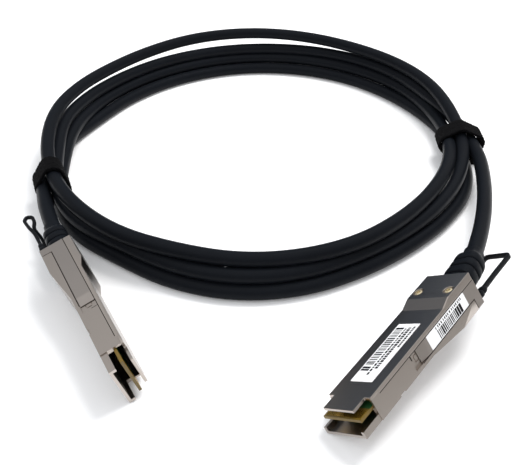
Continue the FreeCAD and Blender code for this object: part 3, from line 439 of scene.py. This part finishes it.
BOOT_LENGTH = 22.0
BOOT_BEND = {"right": (20.0, -2.0), "left": (5.0, 134.0)}       # degrees of bend, and its direction
BOOT_CORNER = 3.4
BOOT_RINGS = [
    # behind the shell, width, height
    (-1.0, 10.9, 7.8), (0.0, 11.6, 8.4), (2.3, 11.8, 8.7), (2.7, 11.5, 8.4), (2.9, 10.5, 7.4), (3.5, 10.4, 7.4),
    (3.7, 11.3, 8.6), (4.2, 11.6, 9.0), (7.0, 11.4, 9.1), (7.3, 11.1, 8.8), (7.5, 10.1, 7.8), (8.1, 10.0, 7.8),
    (8.3, 10.9, 8.9), (8.7, 11.2, 9.2), (11.1, 11.0, 9.2), (11.4, 10.7, 8.9), (11.6, 9.8, 8.0), (12.2, 9.7, 8.0),
    (12.4, 10.5, 8.9), (12.8, 10.8, 9.2), (15.0, 10.5, 9.2), (16.2, 9.8, 8.9), (17.0, 8.6, 8.2), (17.5, 7.4, 7.4),
    (18.2, 6.9, 6.9), (20.0, 6.8, 6.8), (22.0, 6.7, 6.7)]


def boot_place(side, along):
    """A point and a direction on the bent middle line of a boot, in the plug's own frame."""
    bend, turn = (math.radians(v) for v in BOOT_BEND[side])
    radius = BOOT_LENGTH / bend
    aside = Vector((0, math.cos(turn), math.sin(turn)))
    angle = max(0.0, along) / radius
    place = Vector((PLUG_LENGTH + radius * math.sin(angle) + min(0.0, along), 0, BOOT_CENTRE))
    direction = Vector((math.cos(angle), 0, 0)) + aside * math.sin(angle)
    return place + aside * (radius * (1 - math.cos(angle))), direction


def make_boot(side):
    """A grooved strain relief, built with a fixed bend the way its cable leaves."""
    bm = bmesh.new()
    width, height = BOOT_RINGS[1][1:]
    outline = rounded_outline(bm, width, height, BOOT_CORNER, 5)
    run_along(bm, outline, [look_along(*boot_place(side, along), UP, wide / width, high / height)
                            for along, wide, high in BOOT_RINGS])
    boot = add_piece(side + "_boot", bm, MOULDED, smooth=50.0, place=PLUG[side])
    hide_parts(side + "_strain_relief_boot")
    return boot


boots = [make_boot(side) for side in SIDES]


# ---------------------------------------------------------------- lanyards

YOKE_Z = -1.47
ROOT_X, ROOT_Y = 72.4, 5.9        # where each end of a strap enters its block
# the straps' paths in a plug's own frame: a flat stirrup, and a loop that is twisted over itself
LOOP_PATH = {
    "right": [(ROOT_X, -ROOT_Y, YOKE_Z), (86.0, -5.55, YOKE_Z), (98.8, -5.2, -1.77), (98.8, 5.2, -1.77),
              (86.0, 5.55, YOKE_Z), (ROOT_X, ROOT_Y, YOKE_Z)],
    "left": [(ROOT_X, -ROOT_Y, YOKE_Z), (80.0, -ROOT_Y, YOKE_Z), (87.5, -5.4, -1.3), (91.5, -2.5, -0.8),
             (92.0, 1.0, -1.1), (93.4, 3.2, -1.3), (95.6, 3.8, 0.1), (98.4, 4.6, 0.3), (99.0, 5.4, -1.6),
             (96.6, 6.2, -3.1), (91.6, 6.2, -2.7), (86.0, ROOT_Y, -1.6), (79.0, ROOT_Y, YOKE_Z),
             (ROOT_X, ROOT_Y, YOKE_Z)]}
LOOP_BEND = {"right": 1.6, "left": 4.0}
LOOP_SIZE = {"right": (1.2, 1.9), "left": (1.35, 1.35)}
LOOP_UP = {"right": UP, "left": Vector((0, 1, 0))}
GRIP_WIDTH, GRIP_HEIGHT = 3.4, 2.4
# how far behind the shell, and how large the gripping block is there
GRIP_STATIONS = [(0.0, 1.0), (1.5, 1.06), (2.0, 0.8), (2.5, 1.02), (3.9, 1.0), (4.4, 0.72), (4.9, 0.9), (6.2, 0.84),
                 (7.4, 0.55)]


def make_lanyard(side):
    """A loop of moulded strap behind the yoke, on two gripping blocks."""
    bm = bmesh.new()
    path = soften_corners([Vector(point) for point in LOOP_PATH[side]], LOOP_BEND[side], 6)
    run_along(bm, rounded_outline(bm, *LOOP_SIZE[side], 0.35, 3), path_frames(path, lambda direction: LOOP_UP[side]))
    for y in (-ROOT_Y, ROOT_Y):
        block = bmesh.new()
        outline = rounded_outline(block, GRIP_WIDTH, GRIP_HEIGHT, 0.8, 3)
        run_along(block, outline, [look_along(Vector((PLUG_LENGTH + x, y, YOKE_Z)), Vector((1, 0, 0)), UP, grow, grow)
                                   for x, grow in GRIP_STATIONS])
        mesh = bpy.data.meshes.new("block")
        block.to_mesh(mesh)
        block.free()
        bm.from_mesh(mesh)
        bpy.data.meshes.remove(mesh)
    lanyard = add_piece(side + "_lanyard", bm, LANYARD, side + "_slider", 50.0, PLUG[side])
    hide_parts(side + "_pull_lanyard")


for side in SIDES:
    make_lanyard(side)


# ---------------------------------------------------------------- screws

SCREW_X, SCREW_Y = 60.4, 6.6
SEAT = 9.35                       # height of the face under the heads
HEAD_RADIUS, HEAD_HEIGHT, HEAD_ROUND = 1.35, 0.55, 0.3
CROSS_ARM, CROSS_HALF, CROSS_DEPTH = 0.85, 0.2, 0.35


def make_screws(side):
    """Two pan-head screws with a cross recess, each left where its driver stopped."""
    bm = bmesh.new()
    for y, driven in ((-SCREW_Y, 55), (SCREW_Y, 20)):
        rim = bmesh.ops.create_circle(bm, segments=32, radius=HEAD_RADIUS)["verts"]
        ring = [e for e in bm.edges if all(v in rim for v in e.verts)]
        cross = []
        for quarter in range(4):
            turn = Matrix.Rotation(math.radians(driven + quarter * 90), 3, "Z")
            for corner in ((CROSS_ARM, -CROSS_HALF), (CROSS_ARM, CROSS_HALF), (CROSS_HALF, CROSS_HALF)):
                cross.append(bm.verts.new(turn @ Vector((*corner, 0.0))))
        recess = [bm.edges.new((a, b)) for a, b in zip(cross, cross[1:] + cross[:1])]
        bmesh.ops.triangle_fill(bm, edges=ring + recess, use_beauty=True, normal=(0, 0, 1))
        filled = [f for f in bm.faces if all(v in cross for v in f.verts)]
        bmesh.ops.delete(bm, geom=filled, context="FACES_ONLY")
        for edges, depth in ((recess, CROSS_DEPTH), (ring, HEAD_HEIGHT)):
            lower, verts = extrude_ring(bm, edges)
            bmesh.ops.translate(bm, verts=verts, vec=(0, 0, -depth))
            bmesh.ops.contextual_create(bm, geom=lower)
        bmesh.ops.bevel(bm, geom=ring, affect="EDGES", offset=HEAD_ROUND, segments=3, profile=0.5, material=-1)
        head = [v for v in bm.verts if v.co.length < 2 * HEAD_RADIUS]
        bmesh.ops.translate(bm, verts=head, vec=(SCREW_X, y, SEAT + HEAD_HEIGHT))
    screws = add_piece(side + "_cross_screws", bm, BRASS, smooth=35.0, place=PLUG[side])
    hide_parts(side + "_cover_screws")


for side in SIDES:
    make_screws(side)


# ---------------------------------------------------------------- labels

LABEL_TOP, LABEL_THICKNESS, LABEL_CORNER = 0.09, 0.08, 0.3
INK_TOP = 0.1
TOP_FACE = PLUG["right"] @ Matrix.Translation((0, 0, PLUG_HEIGHT))
SIDE_FACE = PLUG["right"] @ Matrix.Translation((0, -HALF_PLUG, 0)) @ Matrix.Rotation(math.pi / 2, 4, "X")


def printed_label(name, node, corners, face, rows, seed):
    """A paper label with plain bars; face turns a flat label (x along, y across) onto the plug.

    A row is its lower and upper edge, start and stop, its thinnest and thickest bar and the gap between them.
    """
    (x0, x1), (y0, y1) = corners
    bm = bmesh.new()
    lay_strip(bm, x1 - x0, y1 - y0, Matrix.Translation(((x0 + x1) / 2, (y0 + y1) / 2, LABEL_TOP)))
    bmesh.ops.bevel(bm, geom=bm.verts[:], affect="VERTICES", offset=LABEL_CORNER, segments=3, profile=0.5,
                    material=-1)
    made = bmesh.ops.extrude_face_region(bm, geom=bm.faces[:])["geom"]
    under = [g for g in made if isinstance(g, bmesh.types.BMVert)]
    bmesh.ops.translate(bm, verts=under, vec=(0, 0, -LABEL_THICKNESS))
    sheet = add_piece(name, bm, PAPER, smooth=30.0, place=face)
    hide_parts(node)
    draw = random.Random(seed)
    bm = bmesh.new()
    for low, high, start, stop, thin, thick, gap in rows:
        x = start
        while x < stop:
            wide = draw.uniform(thin, thick)
            if x + wide > stop:
                break
            lay_strip(bm, wide, high - low, Matrix.Translation((x + wide / 2, (low + high) / 2, INK_TOP)))
            x += wide + draw.uniform(0.6, 1.4) * gap
    add_piece(name + "_bars", bm, INK, place=face)


printed_label("top_label_sheet", "right_top_label", ((14.8, 43.8), (-4.75, 4.75)), TOP_FACE,
              [(0.8, 4.3, 19.8, 22.6, 0.8, 1.2, 0.2), (0.8, 4.3, 22.8, 40.6, 0.25, 0.7, 0.36),
               (0.8, 4.3, 40.8, 42.9, 0.9, 1.1, 0.15), (-0.7, 0.2, 18.0, 41.5, 0.5, 1.3, 0.3),
               (-2.4, -1.1, 21.0, 42.6, 0.6, 1.1, 0.25), (-4.0, -3.0, 31.5, 42.8, 0.5, 1.1, 0.25)], seed=3)
printed_label("side_label_sheet", "right_side_label", ((38.8, 63.0), (1.55, 6.75)), SIDE_FACE,
              [(1.8, 5.1, 44.4, 55.6, 0.3, 0.85, 0.34), (1.8, 5.1, 55.8, 60.4, 0.8, 1.3, 0.2),
               (5.5, 6.4, 44.2, 60.8, 0.35, 0.55, 0.65)], seed=8)


# ---------------------------------------------------------------- painted shadows along the seams

SEAM_WIDTH, SEAM_LIFT = 0.26, 0.015
SKIRT_FRONT, SKIRT_BACK, SKIRT_Z = 12.0, 70.0, 6.96     # the gap under the cover's skirt
ARM_TIP, YOKE_FRONT, ARM_TOP, BELLY = 32.7, 66.7, 1.36, -2.6     # the gap over the slider's arm and along its yoke


def make_seam_shadows(side):
    """Dark strips of painted shadow along the cover's skirts and round the slider's arms, on both side faces,
    standing in for the shade in their gaps.
    """
    bm = bmesh.new()
    for y in (-HALF_PLUG - SEAM_LIFT, HALF_PLUG + SEAM_LIFT):
        for x0, x1, z0, z1 in ((SKIRT_FRONT, SKIRT_BACK, SKIRT_Z - SEAM_WIDTH / 2, SKIRT_Z + SEAM_WIDTH / 2),
                               (ARM_TIP, YOKE_FRONT, ARM_TOP - SEAM_WIDTH, ARM_TOP),
                               (YOKE_FRONT - SEAM_WIDTH, YOKE_FRONT, BELLY, ARM_TOP)):
            lay_strip(bm, x1 - x0, z1 - z0, Matrix.Translation(((x0 + x1) / 2, y, (z0 + z1) / 2))
                      @ Matrix.Rotation(math.pi / 2, 4, "X"))
    add_piece(side + "_gap_shadows", bm, SEAM_SHADE, place=PLUG[side])


for side in SIDES:
    make_seam_shadows(side)


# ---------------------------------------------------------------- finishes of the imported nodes

MASK_CENTRE = (17.2, 0.0, 5.0)
MASK_SIZE = (21.0, 16.3, 1.04)


def dress(node, material, bevel=0.0):
    """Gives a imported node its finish, and rounds its edges a little."""
    piece = frame["nodes"][node]
    piece.data.materials.clear()
    piece.data.materials.append(material)
    if bevel:
        weld = piece.modifiers.new("join", "WELD")
        weld.merge_threshold = 0.001 * MM
        soft = piece.modifiers.new("edges", "BEVEL")
        soft.width = bevel * MM
        soft.segments = 2
        soft.limit_method = "ANGLE"
        soft.angle_limit = math.radians(40)


def add_mask(side):
    """Green solder mask over the card, behind the strip with its contacts."""
    bm = bmesh.new()
    bmesh.ops.create_cube(bm, size=1.0)
    bmesh.ops.transform(bm, matrix=Matrix.Translation(MASK_CENTRE) @ Matrix.Diagonal((*MASK_SIZE, 1)), verts=bm.verts)
    add_piece(side + "_solder_mask", bm, MASK, place=PLUG[side])


for side in SIDES:
    dress(side + "_bottom_shell", NICKEL, 0.12)
    dress(side + "_top_cover", NICKEL, 0.28)
    dress(side + "_latch_slider", SLIDER, 0.1)
    dress(side + "_return_springs", SPRING)
    dress(side + "_paddle_card", BOARD)
    add_mask(side)
    dress(side + "_contact_pads", GOLD)
    dress(side + "_card_chips", CHIP)
    dress(side + "_twinax_pairs", PAIR)
    dress(side + "_crimp_ferrule", FERRULE)


# ---------------------------------------------------------------- floor, light and camera

FLOOR_SIZE = 3.0                  # in metres
FLOOR_GLOW = 0.11                 # what the camera and reflections see on top of the floor's lit colour


def make_floor():
    """A plain white table."""
    bm = bmesh.new()
    bmesh.ops.create_grid(bm, x_segments=1, y_segments=1, size=FLOOR_SIZE)
    mesh = bpy.data.meshes.new("floor")
    bm.to_mesh(mesh)
    bm.free()
    floor = bpy.data.objects.new("floor", mesh)
    material = bpy.data.materials.new("white_sweep")
    material.use_nodes = True
    tree = material.node_tree
    shader = tree.nodes["Principled BSDF"]
    shader.inputs["Base Color"].default_value = (0.88, 0.89, 0.91, 1)
    shader.inputs["Roughness"].default_value = 0.7
    shader.inputs["Emission Color"].default_value = (1.0, 1.0, 1.0, 1)
    path = tree.nodes.new("ShaderNodeLightPath")
    seen = maths(tree, "MAXIMUM", path.outputs["Is Camera Ray"], path.outputs["Is Glossy Ray"])
    seen = maths(tree, "MAXIMUM", seen, path.outputs["Is Transmission Ray"])
    feed(tree, shader.inputs["Emission Strength"], maths(tree, "MULTIPLY", seen, FLOOR_GLOW))
    mesh.materials.append(material)
    scene.collection.objects.link(floor)


def make_world():
    """A plain grey room: bright overhead, dim at eye level, darkest behind the part."""
    world = bpy.data.worlds.new("room")
    world.use_nodes = True
    tree = world.node_tree
    direction = tree.nodes.new("ShaderNodeTexCoord").outputs["Generated"]

    def towards(aim, stops):
        """The room's colour by how near a direction is to the aim: (nearness, colour) for each stop."""
        facing = tree.nodes.new("ShaderNodeVectorMath")
        facing.operation = "DOT_PRODUCT"
        facing.inputs[1].default_value = Vector(aim).normalized()
        feed(tree, facing.inputs[0], direction)
        ramp = tree.nodes.new("ShaderNodeValToRGB")
        feed(tree, ramp.inputs["Fac"], facing.outputs["Value"])
        colours = ramp.color_ramp.elements
        for index, (place, colour) in enumerate(stops):
            stop = colours[index] if index < 2 else colours.new(place)
            stop.position, stop.color = place, (*colour, 1)
        return ramp.outputs["Color"]

    # a ramp starts with two stops, its first and its last, and the others are put between them
    height = towards((0, 0, 1), [(0.0, (0.27, 0.255, 0.245)), (0.95, (1.0, 1.0, 1.0)), (0.4, (0.5, 0.49, 0.48)),
                                 (0.7, (0.72, 0.72, 0.73))])
    back = towards((-0.28, 0.955, 0.05), [(0.7, (1.0, 1.0, 1.0)), (0.985, (0.27, 0.36, 0.5)),
                                          (0.9, (0.5, 0.55, 0.62))])
    feed(tree, tree.nodes["Background"].inputs["Color"], mix_colours(tree, 1.0, height, back, "MULTIPLY"))
    scene.world = world


def add_lamp(name, place, aim, wide, power, tint):
    """A soft square lamp that metal doesn't mirror."""
    lamp = bpy.data.lights.new(name, "AREA")
    lamp.color = tint
    lamp.size = wide
    lamp.energy = power
    holder = bpy.data.objects.new(name, lamp)
    holder.location = place
    holder.rotation_euler = (Vector(aim) - Vector(place)).to_track_quat("-Z", "Y").to_euler()
    holder.visible_glossy = False
    scene.collection.objects.link(holder)


def make_camera():
    """The camera, in front of the plugs and above them."""
    data = bpy.data.cameras.new("camera")
    data.sensor_width = 36
    data.lens = 50.27
    data.clip_start = 0.01
    camera = bpy.data.objects.new("camera", data)
    camera.location = (0.00172, -0.19313, 0.18008)
    camera.rotation_euler = (math.radians(55.16), 0, 0)
    scene.collection.objects.link(camera)
    scene.camera = camera


make_floor()
make_world()
add_lamp("overhead", (0.35, 0.45, 0.95), (0, 0.1, 0), 0.5, 11.0, (1.0, 0.98, 0.95))
add_lamp("front_fill", (-0.5, -0.5, 0.8), (0, 0.05, 0), 0.8, 3.0, (0.95, 0.98, 1.0))
make_camera()
scene.view_settings.view_transform = "Standard"
